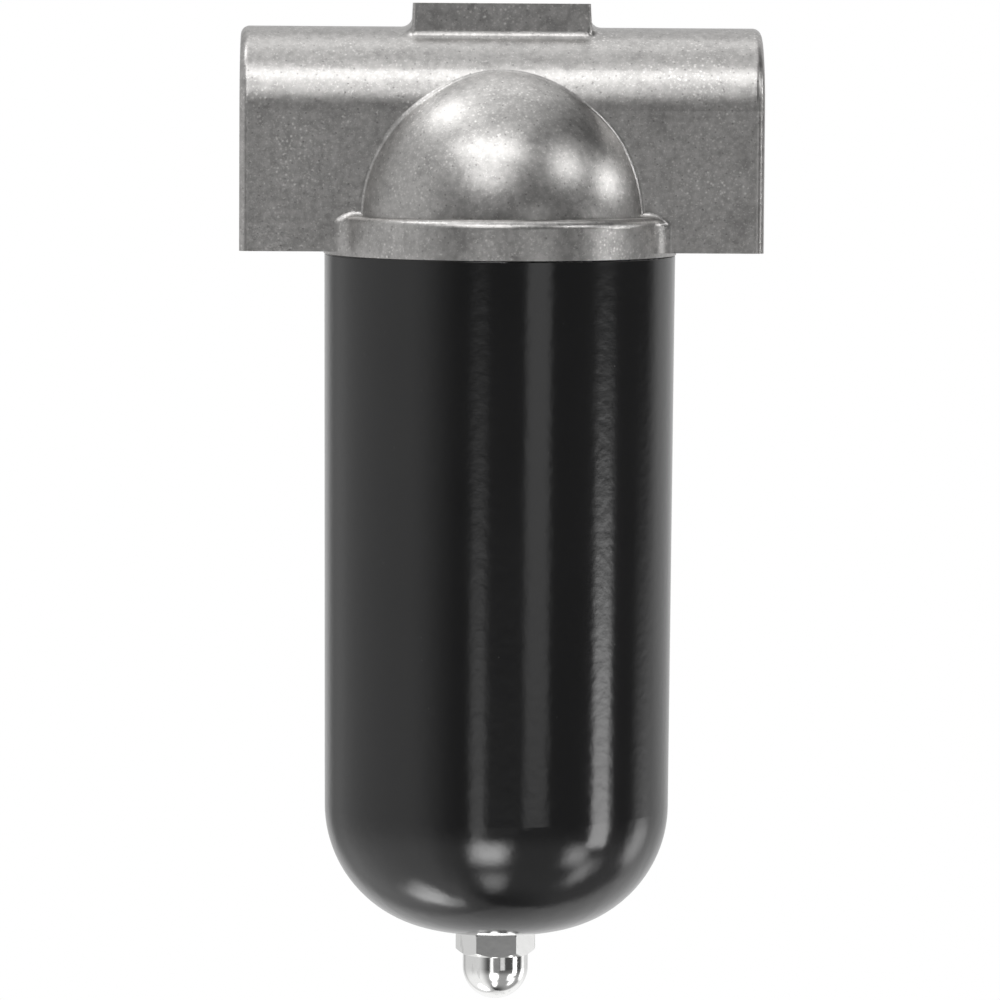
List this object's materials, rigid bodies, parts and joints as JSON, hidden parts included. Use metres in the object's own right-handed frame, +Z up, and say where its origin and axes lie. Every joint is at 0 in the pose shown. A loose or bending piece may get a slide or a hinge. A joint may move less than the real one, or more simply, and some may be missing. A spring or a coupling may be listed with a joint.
{
  "type": "compressed air filter",
  "caption": "In-line compressed air filter: cast head with two opposed threaded ports and a mounting pad, round-bottomed steel bowl held by a cap nut on a central tie rod, cartridge inside.",
  "frame": {"origin": "centre of the mounting pad's flat top face", "axes": "+Z up out of the mounting pad, along the bowl's axis; +X out of the outlet port, which lies opposite the inlet port; -Y and +Y are the flat sides of the head"},
  "size_m": [0.1184, 0.0804, 0.2287],
  "materials": {
    "cast_aluminium": "as cast, mottled, satin",
    "black_paint": "semi-gloss with slight orange peel",
    "bright_plating": "bright nickel plate",
    "zinc_plated_steel": "clear zinc plate",
    "tinned_sheet": "tinned, dull",
    "perforated_sheet": "zinc plated, perforated",
    "plain_steel": "phosphated, matt",
    "spring_wire": "drawn stainless wire",
    "copper": "soft copper, satin",
    "filter_paper": "resin-treated cellulose, matt",
    "fibre_gasket": "cork and rubber, matt",
    "black_rubber": "moulded, matt",
    "deflector_plastic": "glass-filled nylon, matt"
  },
  "bodies": {
    "head": {"filter_head": "cast_aluminium", "tie_rod": "zinc_plated_steel", "bowl_o_ring": "black_rubber", "swirl_deflector": "deflector_plastic"},
    "element": {"element_top_gasket": "fibre_gasket", "element_top_cap": "tinned_sheet", "element_core": "tinned_sheet", "element_media": "filter_paper", "element_sleeve": "perforated_sheet", "element_bottom_cap": "tinned_sheet", "rod_grommet": "black_rubber", "element_bottom_gasket": "fibre_gasket", "quiet_zone_plate": "zinc_plated_steel", "spring_follower": "zinc_plated_steel"},
    "spring_pack": {"element_spring": "spring_wire", "spring_seat": "zinc_plated_steel"},
    "bowl": {"bowl": "black_paint", "bowl_reinforcing_plate": "plain_steel"},
    "nut_washer": {"sealing_washer": "copper"},
    "cap_nut": {"cap_nut": "bright_plating"}
  },
  "joints": [
    {"name": "element_float", "type": "slide", "parent": "head", "child": "element", "axis": [0, 0, -1], "range_m": [0, 0.003], "stiffness_N_per_m": 3000, "springref_m": -0.01, "deforming": ["element_spring"]},
    {"name": "bowl_drop", "type": "slide", "parent": "head", "child": "spring_pack", "axis": [0, 0, -1], "range_m": [0, 0.168]},
    {"name": "bowl_swivel", "type": "hinge", "parent": "spring_pack", "child": "bowl", "pos_m": [0, 0, -0.135], "axis": [0, 0, -1], "continuous": true},
    {"name": "nut_travel", "type": "slide", "parent": "bowl", "child": "nut_washer", "axis": [0, 0, -1], "range_m": [0, 0.00952]},
    {"name": "nut_turn", "type": "hinge", "parent": "nut_washer", "child": "cap_nut", "pos_m": [0, 0, -0.2206], "axis": [0, 0, -1], "range_deg": [0, 2160]}
  ],
  "couplings": [
    {"joint": "nut_turn", "follows": "nut_travel", "rad_per_m": 3957.9}
  ]
}
